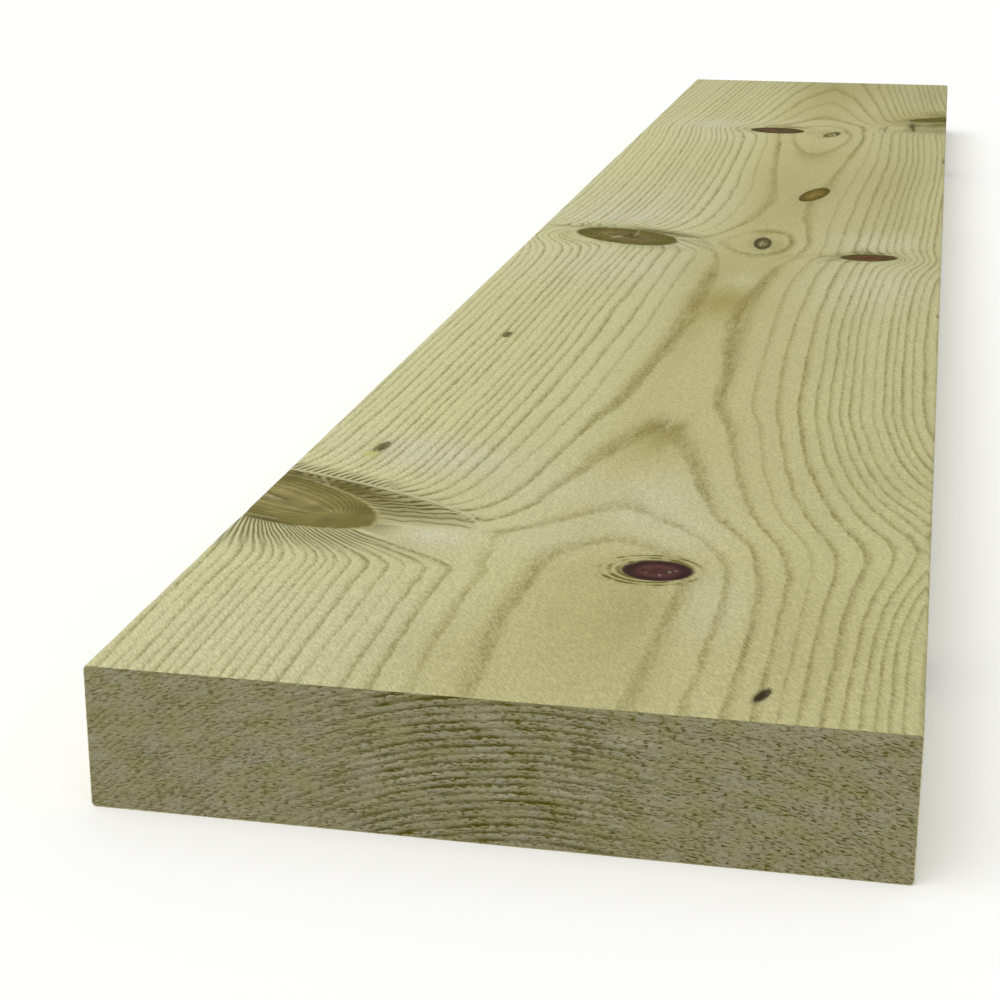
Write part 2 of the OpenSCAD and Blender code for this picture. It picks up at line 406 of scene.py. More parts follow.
BROWN_STAINS = [  # the same
    (138, 276, 8, 18, 0, 0.7), (134, 293, 3.5, 17, 9, 0.8), (142.5, 293, 3.5, 17, -9, 0.75),
    (138, 268, 14, 24, 0, 0.35), (232, 1330, 44, 60, 0, 0.4), (136, 552, 18, 42, 0, 0.85),
    (128, 500, 7, 80, 0, 0.3), (152, 500, 6, 90, 0, 0.25), (153, 712, 6, 34, 8, 0.5),
    (142, 762, 8, 10, 0, 0.8), (140, 681, 18, 6, 0, 0.4), (138, 800, 10, 30, 0, 0.3),
    (150, 640, 12, 60, 0, 0.25), (146, 1350, 26, 60, 0, 0.2), (150, 1120, 20, 22, 0, 0.2),
    (150, 830, 22, 70, 0, 0.3), (146, 1500, 34, 110, 0, 0.35), (150, 960, 34, 130, 0, 0.3),
    (120, 640, 24, 60, 0, 0.3), (150, 60, 26, 60, 0, 0.3), (218, 60, 30, 70, 0, 0.2),
    (215, 960, 30, 160, 0, 0.2), (104, 30, 20, 40, 0, 0.3), (152, 1090, 24, 60, 0, 0.35)]
PALE_STAINS = [  # the same
    (50, 240, 40, 22, -20, 0.9), (76, 140, 14, 10, 0, 0.8), (180, 90, 12, 34, 0, 0.4),
    (145, 190, 22, 40, 0, 0.6), (160, 165, 18, 26, 0, 0.5), (120, 150, 20, 24, 0, 0.35),
    (110, 205, 26, 26, 0, 0.35), (45, 806, 50, 34, 0, 0.9), (92, 708, 14, 12, -20, 0.5),
    (50, 860, 60, 90, 0, 0.45), (40, 690, 30, 12, 0, 0.5), (212, 740, 26, 34, 0, 0.6),
    (52, 1262, 34, 34, 0, 0.8), (64, 1190, 26, 34, 0, 0.5), (125, 1290, 22, 20, 0, 0.35),
    (60, 40, 60, 50, 0, 0.3), (62, 640, 46, 50, 0, 0.6), (216, 615, 30, 70, 0, 0.55),
    (142, 610, 12, 20, 0, 0.35)]
RESIN_STAINS = [  # the same
    (26.5, 235.5, 3.0, 5.5, 12, 0.9), (24, 250, 2.0, 7.0, 0, 0.5), (44, 452, 3.0, 7.0, 0, 0.35)]
print("marks", len(MARKS) + len(PALE_MARKS), "stains_and_shade", len(OLIVE_STAINS_AND_FAR_SHADE) + len(BROWN_STAINS)
      + len(PALE_STAINS) + len(RESIN_STAINS))


# %% How strong each is at any place
def stain_strength(x, y, z, patches):
    """How strong the soft patches are at each place, followed down into the wood."""
    total = np.zeros_like(x)
    for mid_x, mid_y, half_x, half_y, tilt, strength in patches:
        x_top, y_top, _ = seen_from_top(x, y, z, mid_y)
        turn = math.radians(tilt)
        dx = x_top - mid_x
        dy = y_top - mid_y
        u = (dx * math.cos(turn) + dy * math.sin(turn)) / half_x
        v = (dy * math.cos(turn) - dx * math.sin(turn)) / half_y
        total = np.maximum(total, strength * np.exp(-u * u - v * v))
    return total


def from_stroke(x, y, x0, y0, x1, y1):
    """The share of a straight stroke that each place lies along, and how many mm off it."""
    run_x, run_y = x1 - x0, y1 - y0
    t = np.clip(((x - x0) * run_x + (y - y0) * run_y) / (run_x ** 2 + run_y ** 2), 0.0, 1.0)
    return t, np.hypot(x - x0 - t * run_x, y - y0 - t * run_y)


def stroke(x, y, z, *ends, wide):
    """How much of a short tapered stroke on the top face is at each place."""
    t, gap = from_stroke(x, y, *ends)
    taper = 0.35 + 0.65 * np.sqrt(np.clip(4.0 * t * (1.0 - t), 0.0, 1.0))
    return np.exp(-(gap / (0.5 * wide * taper)) ** 2) * (z > THICK - 6.0)


def mark_strength(x, y, z):
    """How dark, how deep and how pale the marks are at each place."""
    dark = np.zeros_like(x)
    deep = np.zeros_like(x)
    pale = np.zeros_like(x)
    for *ends, wide, depth, strength in MARKS:
        near = stroke(x, y, z, *ends, wide=wide)
        dark = np.maximum(dark, strength * near)
        deep = np.maximum(deep, depth * near)
    for *ends, wide, strength in PALE_MARKS:
        pale = np.maximum(pale, strength * stroke(x, y, z, *ends, wide=wide))
    return dark, deep, pale


knot_stain = stain_strength(*np.array([[33.0], [188.0], [THICK]]), OLIVE_STAINS_AND_FAR_SHADE)[0]
print("olive beside the left edge knot", round(float(knot_stain), 2))

# %% Years that grew slow and dense
HARD_YEARS = [  # year, from y, to y, strength: rings of slow dense growth, drawn broad and brown
    (3, 290, 640, 1.0), (2, 215, 310, 0.7), (1, 30, 215, 0.8), (0, -50, 160, 0.6),
    (2, 640, 800, 0.8), (3, 700, 1200, 0.3), (3, 1080, 1350, 0.7), (4, 1290, 1460, 0.8),
    (5, 1380, 1700, 0.7), (4, 290, 700, 0.3)]


def hard_years(years, y):
    """How much of a hard year is at each place."""
    total = np.zeros_like(y)
    for number, start, stop, strength in HARD_YEARS:
        window = soft_step((y - start) / 40.0 + 0.5) * soft_step((stop - y) / 40.0 + 0.5)
        total = np.maximum(total, strength * window * np.exp(-((years - number) / 0.35) ** 2))
    return total


print("stretches of hard years", len(HARD_YEARS))

# %% [markdown]
# The board's skin is one closed mesh. A plain grid fine enough for the knots would need
# millions of squares, so the six faces of the board are ruled on one fine lattice, and each
# face is halved again and again only where the rings bend, a knot's rim runs or a mark lies.
# Where small squares meet a large one, the large one takes their corners into its own edge,
# so the skin stays watertight. The lattice is closer in the 1.5 mm arris, where it turns.

# %% Rule the lattice
ACROSS, ALONG, UP = 512, 2048, 128
ARRIS_STEPS = 4
ARRIS = 1.5
BREAK = 0.4


def ruled(steps, size, edge_steps, edge):
    """Lattice lines in mm: close together in the edge zone, even in between."""
    zone = np.linspace(0.0, edge, edge_steps + 1)
    middle = np.linspace(edge, size - edge, steps - 2 * edge_steps + 1)
    return np.concatenate([zone, middle[1:-1], size - zone[::-1]])


RULE_X = ruled(ACROSS, WIDTH, ARRIS_STEPS, ARRIS)
RULE_Y = ruled(ALONG, LENGTH, 1, BREAK)
RULE_Z = ruled(UP, THICK, ARRIS_STEPS, ARRIS)
FACES = [  # the two lattice axes it spans, the axis and line it is fixed on, its coarsest cell
    # in mm, the share of a year that a ring may be off, and whether it is wound the other way
    dict(name="top", axes=(0, 1), fixed=2, line=UP, coarse=(6.0, 14.0), slack=0.12, flip=False),
    dict(name="underside", axes=(0, 1), fixed=2, line=0, coarse=(12.0, 40.0), slack=1.0, flip=True),
    dict(name="left side", axes=(1, 2), fixed=0, line=0, coarse=(24.0, 6.0), slack=0.3, flip=True),
    dict(name="right side", axes=(1, 2), fixed=0, line=ACROSS, coarse=(24.0, 6.0), slack=0.3,
         flip=False),
    dict(name="near end", axes=(0, 2), fixed=1, line=0, coarse=(1.0, 0.4), slack=None, flip=False),
    dict(name="far end", axes=(0, 2), fixed=1, line=ALONG, coarse=(2.0, 1.6), slack=None, flip=True)]
SIZES = (ACROSS, ALONG, UP)
RULES = (RULE_X, RULE_Y, RULE_Z)
EDGE_ZONE = ((ARRIS_STEPS, 2), (1, 1), (ARRIS_STEPS, 2))  # steps in the zone, widest cell there
FIRST_CELL = 32  # lattice steps
SMALLEST_CELL = 0.7  # mm, where rings bend
RIM_CELL, MARK_CELL = 1.1, 0.6  # mm, at a knot's rim and in a mark
SIDE_COARSER = 1.7  # times, for knots on the sides and the underside


def lattice_place(face, a, b):
    """Millimetres of lattice points a, b on a face."""
    place = [None, None, None]
    place[face["fixed"]] = np.full(np.shape(a), RULES[face["fixed"]][face["line"]])
    for axis, lines in zip(face["axes"], (a, b)):
        place[axis] = RULES[axis][lines]
    return place


# %% Halve the cells of each face where the wood asks for it
def knot_need(x, y, z):
    """Finest square wanted near knots and marks, in mm."""
    need = np.full(x.shape, 100.0)
    for knot in KNOTS:
        _, _, d, _ = knot_place(x, y, z, knot)
        small = min(knot["half"])
        rim_gap = np.abs(d - 1.0) * small
        wanted = np.where(d < 1.0, np.clip(small * 0.17, 0.9, 3.0), 100.0)
        wanted = np.where(rim_gap < 1.5, np.minimum(wanted, RIM_CELL), wanted)
        wanted = np.where(d < 2.2, np.minimum(wanted, np.clip(rim_gap * 0.5, 1.0, 5.0)), wanted)
        need = np.minimum(need, wanted)
    for x0, y0, x1, y1, wide, *_ in MARKS + PALE_MARKS:
        _, gap = from_stroke(x, y, x0, y0, x1, y1)
        close = (gap < 0.7 * wide + 0.8) & (z > THICK - 3.0)
        need = np.where(close, np.minimum(need, MARK_CELL), need)
    return need


def bends(face, lines_a, lines_b):
    """How far rings and fringe are from straight across each cell, along both of its ways."""
    ring, stroke_count, least = {}, {}, 1.0
    for i, a in enumerate(lines_a):
        for j, b in enumerate(lines_b):
            ring[i, j], told = ring_number(*lattice_place(face, a, b))
            stroke_count[i, j] = 0.5 * told["stroke_at"]
            least = np.minimum(least, told["fringe"])
    miss_a = np.max([np.abs(ring[1, j] - 0.5 * (ring[0, j] + ring[2, j])) for j in range(3)], axis=0)
    miss_b = np.max([np.abs(ring[i, 1] - 0.5 * (ring[i, 0] + ring[i, 2])) for i in range(3)], axis=0)
    if face["name"] == "top":
        bend_a = stroke_count[1, 1] - 0.5 * (stroke_count[0, 1] + stroke_count[2, 1])
        bend_b = stroke_count[1, 1] - 0.5 * (stroke_count[1, 0] + stroke_count[1, 2])
        miss_a = np.maximum(miss_a, np.abs(bend_a) * (least > 0.1))
        miss_b = np.maximum(miss_b, np.abs(bend_b) * (least > 0.1))
    return miss_a, miss_b


def halve(face):
    """Halves the cells of one face until each is small enough for what it carries."""
    axis_a, axis_b = face["axes"]
    is_end = face["slack"] is None
    cells = np.array([[a, a + FIRST_CELL, b, b + FIRST_CELL]
                      for a in range(0, SIZES[axis_a], FIRST_CELL)
                      for b in range(0, SIZES[axis_b], FIRST_CELL)])
    done = []
    while len(cells):
        a0, a1, b0, b1 = cells.T
        size_a = RULES[axis_a][a1] - RULES[axis_a][a0]
        size_b = RULES[axis_b][b1] - RULES[axis_b][b0]
        cut_a = size_a > face["coarse"][0]
        cut_b = size_b > face["coarse"][1]
        for low, high, cut, axis in ((a0, a1, cut_a, axis_a), (b0, b1, cut_b, axis_b)):
            zone, widest = EDGE_ZONE[axis]
            near_edge = (low < zone) | (high > SIZES[axis] - zone)
            cut |= near_edge & (high - low > (1 if is_end else widest))
        if not is_end:
            mid_a, mid_b = (a0 + a1) // 2, (b0 + b1) // 2
            miss_a, miss_b = bends(face, (a0, mid_a, a1), (b0, mid_b, b1))
            middle = lattice_place(face, mid_a, mid_b)
            inner = np.min([knot_place(*middle, knot)[2] for knot in KNOTS], axis=0)
            slack = np.where(inner < 0.85, 50.0, face["slack"])
            need = knot_need(*middle) * (1.0 if face["name"] == "top" else SIDE_COARSER) * 1.25
            cut_a |= ((miss_a > slack) & (size_a > SMALLEST_CELL)) | (size_a > need)
            cut_b |= ((miss_b > slack) & (size_b > SMALLEST_CELL)) | (size_b > need)
        cut_a &= a1 - a0 > 1
        cut_b &= b1 - b0 > 1
        both = cut_a & cut_b
        cut_a &= ~both | (size_a >= size_b)
        cut_b &= ~cut_a
        done.append(cells[~(cut_a | cut_b)])
        wide, tall = cells[cut_a], cells[cut_b]
        mid = (wide[:, 0] + wide[:, 1]) // 2
        parts = [np.c_[wide[:, 0], mid, wide[:, 2:]], np.c_[mid, wide[:, 1], wide[:, 2:]]]
        mid = (tall[:, 2] + tall[:, 3]) // 2
        parts += [np.c_[tall[:, :2], tall[:, 2], mid], np.c_[tall[:, :2], mid, tall[:, 3]]]
        cells = np.concatenate(parts)
    return np.concatenate(done)


face_cells = [halve(face) for face in FACES]
for face, cells in zip(FACES, face_cells):
    print(face["name"], "cells", len(cells))

# %% Join the six faces into one skin
def lattice_points(face, a, b):
    """The three lattice numbers of points a, b on a face."""
    point = np.full((len(a), 3), face["line"], np.int64)
    for axis, lines in zip(face["axes"], (a, b)):
        point[:, axis] = lines
    return point


KEY_STEP = 4096  # more than the lattice has lines


def key_along(points, axis):
    """One number per lattice point, which counts up along the given axis."""
    p, q = [i for i in range(3) if i != axis]
    return (points[:, p] * KEY_STEP + points[:, q]) * KEY_STEP + points[:, axis]


corner_sets = []
for face, cells in zip(FACES, face_cells):
    a0, a1, b0, b1 = cells.T
    corners = [lattice_points(face, a, b) for a, b in ((a0, b0), (a1, b0), (a1, b1), (a0, b1))]
    corner_sets.append(corners)
every_corner = np.concatenate([c for corners in corner_sets for c in corners])
skin_points = np.unique(every_corner, axis=0)
orders = [np.argsort(key_along(skin_points, axis)) for axis in range(3)]
keys = [key_along(skin_points, axis)[orders[axis]] for axis in range(3)]
polygons = []
for face, corners in zip(FACES, corner_sets):
    axis_a, axis_b = face["axes"]
    sides = []
    for start, end, axis in ((0, 1, axis_a), (1, 2, axis_b), (2, 3, axis_a), (3, 0, axis_b)):
        first = np.searchsorted(keys[axis], key_along(corners[start], axis))
        last = np.searchsorted(keys[axis], key_along(corners[end], axis))
        sides.append((first, last, orders[axis]))
    for n in range(len(corners[0])):
        loop = []
        for first, last, order in sides:
            if last[n] > first[n]:
                loop.extend(order[first[n]:last[n]])
            else:
                loop.extend(order[first[n]:last[n]:-1])
        if face["flip"]:
            loop.reverse()
        polygons.append(loop)
triangles = sum(len(loop) - 2 for loop in polygons)
print("skin points", len(skin_points), "polygons", len(polygons), "triangles", triangles)

# %% [markdown]
# The flat lattice is now wrapped onto the real section. In the corner the square is drawn
# round into the planer's arc, and at both ends the rim is broken by 0.4 mm. After that the
# wear and the saw's work are carved inward, so the board never grows past its true size.
# A planed face stays flat but for checks and sunken knots. An end is cross-cut by a coarse
# saw, which tears the ends of the fibres into short slanting strokes up to half a millimetre
# deep, so that is real relief and not only shading.

# %% Round the arrises and break the rims
def rounded_section(x, z):
    """Draws the square corners of the section round, and gives the outward direction."""
    from_mid_x = x - WIDTH / 2
    from_mid_z = z - THICK / 2
    over_x = np.clip(np.abs(from_mid_x) - (WIDTH / 2 - ARRIS), 0.0, None)
    over_z = np.clip(np.abs(from_mid_z) - (THICK / 2 - ARRIS), 0.0, None)
    far = np.maximum(over_x, over_z)
    near = np.minimum(over_x, over_z)
    angle = 0.25 * math.pi * near / np.maximum(far, 1e-9)
    long_way = far * np.cos(angle)
    short_way = far * np.sin(angle)
    new_x = np.where(over_x >= over_z, long_way, short_way)
    new_z = np.where(over_x >= over_z, short_way, long_way)
    inner_x = np.clip(from_mid_x, ARRIS - WIDTH / 2, WIDTH / 2 - ARRIS)
    inner_z = np.clip(from_mid_z, ARRIS - THICK / 2, THICK / 2 - ARRIS)
    out_x = np.sign(from_mid_x) * new_x
    out_z = np.sign(from_mid_z) * new_z
    return WIDTH / 2 + inner_x + out_x, THICK / 2 + inner_z + out_z, out_x, out_z


x, z, lean_x, lean_z = rounded_section(RULE_X[skin_points[:, 0]], RULE_Z[skin_points[:, 2]])
y = RULE_Y[skin_points[:, 1]]
# Which face a point is on: +1 or -1 on the two faces across an axis, 0 elsewhere
face_x, face_y, face_z = [(line == size) * 1.0 - (line == 0) for line, size in zip(skin_points.T, SIZES)]
on_end = face_y != 0
on_side = (face_x != 0) | (face_z != 0)
on_rim = on_end & on_side
out_x = np.where(on_side, lean_x, 0.0)
out_z = np.where(on_side, lean_z, 0.0)
out_z = np.where((face_z != 0) & (out_x == 0.0), face_z, out_z)
out_x = np.where((face_x != 0) & (out_z == 0.0), face_x, out_x)
size = np.maximum(np.hypot(out_x, out_z), 1e-9)
out_x, out_z = out_x / size * on_side, out_z / size * on_side
out_y = face_y
x = x - 0.5 * BREAK * out_x * on_rim
z = z - 0.5 * BREAK * out_z * on_rim
y = y - 0.5 * BREAK * out_y * on_rim
size = np.sqrt(out_x ** 2 + out_y ** 2 + out_z ** 2)
out_x, out_y, out_z = out_x / size, out_y / size, out_z / size
print("rim points", int(on_rim.sum()), "end points", int((on_end & ~on_rim).sum()))

# %% Tear the ends with the saw
def speckle(u, v, seed):
    """Smooth random field from 0 to 1, with one random value per unit square."""
    table = np.random.default_rng(seed).random((256, 256))
    iu = np.floor(u).astype(int)
    iv = np.floor(v).astype(int)
    fu = soft_step(u - iu)
    fv = soft_step(v - iv)
    a = table[iu % 256, iv % 256]
    b = table[(iu + 1) % 256, iv % 256]
    c = table[iu % 256, (iv + 1) % 256]
    d = table[(iu + 1) % 256, (iv + 1) % 256]
    return (a * (1 - fu) + b * fu) * (1 - fv) + (c * (1 - fu) + d * fu) * fv


SAW_BEND = (150.0, -400.0)  # middle of the saw's swing, across and up
SAW_STROKES = [  # share, mm long, mm apart, seed
    (0.55, 3.2, 0.85, 11), (0.30, 1.6, 0.55, 12), (0.15, 9.0, 2.4, 13)]
DEEPEST_STROKE = 0.55  # mm
across_cut = np.hypot(x - SAW_BEND[0], z - SAW_BEND[1])
along_cut = np.arctan2(x - SAW_BEND[0], z - SAW_BEND[1]) * (THICK / 2 - SAW_BEND[1])
TUFTS = [  # torn pale fibres on the end: across, up, half sizes
    (93, 24, 7, 3.2), (100, 20, 8, 2.4), (108, 21, 5, 2.0), (127, 29, 5, 3.0), (129, 17, 6, 2.2),
    (150, 19, 7, 1.6), (126, 40, 4, 2.0), (168, 37, 6, 2.4)]
strokes = sum(share * speckle(along_cut / long, across_cut / apart, seed)
              for share, long, apart, seed in SAW_STROKES)
tufts = soft_step((speckle(along_cut / 4.0 + 40, across_cut / 1.4, 14) - 0.72) / 0.2)
tufts = tufts * soft_step((speckle(x / 26.0, z / 18.0 + 7, 15) - 0.45) / 0.3)
year, told = ring_number(x, y, z)
line_close = 1.0 - np.abs(2.0 * (year - 0.04 - np.floor(year - 0.04)) - 1.0)
grooves = soft_step((0.36 - line_close) / 0.30)
middle_share = np.exp(-((x - 120.0) / 43.0) ** 4)
middle_share = middle_share + 0.25 * np.exp(-((x - 24) / 22.0) ** 2 - (z / 22.0) ** 2)
patchy = speckle(x / 14.0 + 3, z / 9.0, 16)
middle_share = np.clip(middle_share * (0.65 + 0.6 * patchy), 0.0, 1.0)
tuft_patch = np.zeros_like(x)
for mid_x, mid_z, half_x, half_z in TUFTS:
    away = ((x - mid_x) / half_x) ** 2 + ((z - mid_z) / half_z) ** 2
    tuft_patch = np.maximum(tuft_patch, np.exp(-away) * (0.4 + 0.9 * speckle(x / 1.5, z / 0.9, 17)))
tufts = np.clip(np.maximum(0.5 * tufts, tuft_patch * (y < 1.0)), 0.0, 1.0)
torn = 0.24 + 0.42 * (0.5 - strokes) + 0.22 * grooves * middle_share - 0.24 * tufts
torn = np.clip(torn, 0.0, DEEPEST_STROKE)
print("strokes torn up to", round(float(torn[on_end].max()), 2), "mm deep")

# %% Carve the checks, sunken knots and wear
end_inner = on_end & ~on_rim
dark_marks, deep_marks, pale_marks = mark_strength(x, y, z)
carve = np.where(end_inner, torn, 0.0)
carve = np.where(on_rim, 0.10 * torn, carve)
sunk = np.zeros_like(x)
for knot in KNOTS:
    _, _, d, _ = knot_place(x, y, z, knot)
    sunk = np.maximum(sunk, knot["sunk"] * soft_step((1.04 - d) / 0.12))
arris_wear = 0.22 * soft_step((speckle(y / 9.0, x / 60.0 + z / 30.0, 18) - 0.55) / 0.4)
arris_wear = arris_wear * soft_step(np.minimum(np.abs(lean_x), np.abs(lean_z)) / 0.6)
carve = np.where(on_side & ~on_end, np.maximum(deep_marks, sunk) + arris_wear, carve)
X, Y, Z = x - out_x * carve, y - out_y * carve, z - out_z * carve
print("deepest carving", round(float(carve.max()), 2), "mm")

# %% [markdown]
# Every point of the skin now gets told what wood it is: its year, where it sits in the
# nearest knot, and how stained it is. These go into named attributes, so the material can
# draw sharp lines from smooth numbers, at any distance.

# %% Measure how far apart the years lie on the skin
PROBE = 0.5  # mm
slopes = []
for step in np.eye(3) * PROBE:
    later, _ = ring_number(x + step[0], y + step[1], z + step[2])
    slopes.append((later - year) / PROBE)
on_wide_face = face_z != 0
slopes[0] = np.where(on_end | on_wide_face, slopes[0], 0.0)
slopes[1] = np.where(on_end, 0.0, slopes[1])
slopes[2] = np.where(on_wide_face & ~on_end, 0.0, slopes[2])
steep = np.sqrt(slopes[0] ** 2 + slopes[1] ** 2 + slopes[2] ** 2)
year_gap = np.clip(1.0 / np.maximum(steep, 1e-3), 1.2, 40.0)
print("a year is", round(float(np.median(year_gap)), 1), "mm wide at the middling point")

# %% Find the nearest knot of each point
knot_u, knot_v = np.zeros_like(x), np.zeros_like(x)
knot_d, streak_gap, half_size = np.full_like(x, 50.0), np.full_like(x, 50.0), np.full_like(x, 5.0)
heart, edge, habit = np.zeros((3, len(x), 3))
for knot in KNOTS:
    u, v, d, round_streak = knot_place(x, y, z, knot)
    nearer = d < knot_d
    stretch = np.where(nearer, d / np.maximum(np.hypot(u, v), 1e-6), 1.0)
    knot_u = np.where(nearer, u * stretch, knot_u)
    knot_v = np.where(nearer, v * stretch, knot_v)
    knot_d = np.where(nearer, d, knot_d)
    streak_gap = np.where(nearer, round_streak, streak_gap)
    heart[nearer] = to_linear(knot["heart"])
    edge[nearer] = to_linear(knot["edge"])
    habit[nearer] = (knot["rings"], knot["rim"], knot["halo"])
    half_size[nearer] = min(knot["half"])
shrink = np.minimum(1.0, 6.0 / knot_d)
knot_u, knot_v, knot_d = knot_u * shrink, knot_v * shrink, knot_d * shrink
streak_gap = np.minimum(streak_gap, 60.0)
print("points inside a knot", int((knot_d < 1.0).sum()))

# %% Write it all onto the skin
stains_and_shade = np.stack([stain_strength(x, y, z, patches)
                   for patches in (OLIVE_STAINS_AND_FAR_SHADE, BROWN_STAINS, PALE_STAINS)], axis=1)
resin = stain_strength(x, y, z, RESIN_STAINS)
faint = stain_strength(x, y, z, FAINT)
stains_and_shade[:, 0] = np.where(end_inner, 0.30 + 0.70 * middle_share, stains_and_shade[:, 0])
stains_and_shade[:, 2] = np.where(end_inner, tufts, stains_and_shade[:, 2])
end_share = np.where(end_inner, 1.0, 0.0)

skin = bpy.data.meshes.new("plank_wood")
points = np.c_[X - WIDTH / 2, Y - LENGTH / 2, Z] / 1000.0
skin.from_pydata(points.tolist(), [], polygons)
skin.polygons.foreach_set("use_smooth", np.ones(len(skin.polygons), bool))

NOTES = {
    "year": year, "hard_year": hard_years(year, y), "knot_streak": streak_gap, "knot_half": half_size,
    "line_look": np.c_[year_gap, told["bold"], told["shade"]],
    "faint_pale_seam": np.c_[faint, pale_marks, told["seam_gap"]],
    "fringe_place": np.c_[told["stroke_at"], told["fringe"], told["seam"]],
    "crowded": np.c_[told["crowd"], told["lashed"], told["lash_at"]],
    "saw_place": np.c_[along_cut, across_cut, y],
    "knot_place": np.c_[knot_u, knot_v, knot_d],
    "knot_heart": heart, "knot_edge": edge, "knot_habit": habit, "stains_and_shade": stains_and_shade,
    "wear": np.c_[dark_marks, end_share, np.where(end_inner, torn, resin)]}
for name, values in NOTES.items():
    kind, field = ("FLOAT", "value") if values.ndim == 1 else ("FLOAT_VECTOR", "vector")
    layer = skin.attributes.new(name, kind, "POINT")
    layer.data.foreach_set(field, np.ascontiguousarray(values, np.float32).ravel())
skin.update()
plank = bpy.data.objects.new("plank_board", skin)
bpy.context.scene.collection.objects.link(plank)
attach(plank, "root")
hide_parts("plank")
print("skin made, volume box", np.round(points.min(0), 4), np.round(points.max(0), 4))

# %% [markdown]
# The material. Treated softwood is pine or spruce with a copper preservative forced into it,
# which turns the straw colour slightly green. The planed face is matt with a faint sheen:
# wood's IOR is about 1.5 and its roughness about 0.75. Colours are read as sRGB from such
# wood in daylight. The speckle of short slanting strokes is the compressed fibre that a
# planer leaves, really 0.2 mm wide. It is drawn 0.6 mm wide and 2.8 mm long, as coarse as it
# has to be to show from here.

# %% Treated softwood: tools
wood = bpy.data.materials.new("treated_softwood_planed")
wood.use_nodes = True
tree = wood.node_tree
tree.nodes.clear()


def put(kind, feeds=(), operation=None, **settings):
    """Adds a node to the open tree. Feeds fill the sockets that it uses, in order or by name,
    and a node that is fed in gives its first result. Mix mixes colours unless told otherwise."""
    node = tree.nodes.new("ShaderNode" + kind)
    if operation:
        settings["operation"] = operation
    if kind == "Mix":
        settings.setdefault("data_type", "RGBA")
    for name, value in settings.items():
        setattr(node, name, value)
    sockets = [socket for socket in node.inputs if socket.enabled]
    if isinstance(feeds, dict):
        sockets = [node.inputs[name] for name in feeds]
        feeds = feeds.values()
    for socket, value in zip(sockets, feeds):
        if isinstance(value, bpy.types.Node):
            value = next(result for result in value.outputs if result.enabled)
        if isinstance(value, bpy.types.NodeSocket):
            tree.links.new(value, socket)
        else:
            socket.default_value = value
    return node


def paint(hex_colour):
    """An sRGB hex value as a socket takes it."""
    return (*to_linear(hex_colour), 1.0)


place = put("TexCoord").outputs["Object"]
year_at, hard_at, streak_at, knot_half_at = [
    put("Attribute", attribute_name=name).outputs["Fac"]
    for name in ("year", "hard_year", "knot_streak", "knot_half")]
parts = {}
for name in ("line_look", "knot_place", "knot_habit", "faint_pale_seam", "fringe_place", "crowded",
             "stains_and_shade", "wear"):
    stored = put("Attribute", attribute_name=name)
    parts[name] = put("SeparateXYZ", [stored.outputs["Vector"]]).outputs
year_gap_at, bold_at, shade_at = parts["line_look"]
knot_across, knot_along, knot_far = parts["knot_place"]
knot_rings, knot_rim, knot_halo = parts["knot_habit"]
faint_at, pale_mark_at, seam_at = parts["faint_pale_seam"]
stroke_at, fringe_shows, seam_shows = parts["fringe_place"]
crowd_at, lash_shows, lash_at = parts["crowded"]
olive_at, brown_at, pale_at = parts["stains_and_shade"]
mark_at, end_at, torn_at = parts["wear"]
heart_at, edge_at = [put("Attribute", attribute_name=name).outputs["Color"]
                     for name in ("knot_heart", "knot_edge")]
print("notes on the skin", len(NOTES))

# %% [markdown]
# Nothing in wood is even, so most numbers below are swayed by noise. Each noise is stretched
# along the board as the grain is: the slow sway is 25 mm across and 110 mm along, a broken spot
# in a line 3 by 17 mm, and a fibre 0.6 by 14 mm, where real ones are 0.03 mm and would not show.
# On the end the saw's own swing is the grid, so that its dashes follow the cut.

# %% Noise
saw_at = put("Attribute", attribute_name="saw_place").outputs["Vector"]
NOISES = {  # where, stretch per metre, or per mm from the saw, scale and finer layers
    "sway": (place, (40.0, 9.0, 40.0), 1.0, 1.0),
    "fine sway": (place, (160.0, 60.0, 160.0), 1.0, 2.0),
    "dashes": (saw_at, (0.5, 1.85, 0.0), 1.0, 2.0),
    "breaks": (place, (350.0, 60.0, 350.0), 1.0, 2.0),
    "cloud": (place, (14.0, 3.0, 14.0), 1.0, 3.0),
    "fibres": (place, (1600.0, 70.0, 1600.0), 1.0, 2.0),
    "ragged": (place, (300.0, 300.0, 300.0), 1.0, 3.0),
    "blotch": (place, (300.0, 300.0, 300.0), 0.35, 3.0),
    "cluster": (saw_at, (0.09, 0.22, 0.0), 1.0, 2.0),
    "torn grain": (saw_at, (1.3, 2.9, 0.0), 1.0, 2.0),
    "tuft": (place, (120.0, 1.0, 160.0), 1.0, 3.0)}
noise = {}
for name, (where, stretch, scale, detail) in NOISES.items():
    stretched = put("Mapping", {"Vector": where, "Scale": stretch})
    noise[name] = put("TexNoise", [stretched, scale, detail])
sway, fine_sway, dashes, breaks, cloud, fibres, *end_noises = noise.values()
ragged, blotch, cluster, torn_grain, tuft = end_noises
print("noises", len(noise))

# %% [markdown]
# Each year ends in a dark line of dense late wood, sharp on the bark side and soft on the
# other. It is broad where the saw cut the rings flat and thin where it cut them steeply, so
# the width comes from the distance between two years, which the skin carries. No year is
# like the next, so a random number for each sets how wide and how dark its line is.

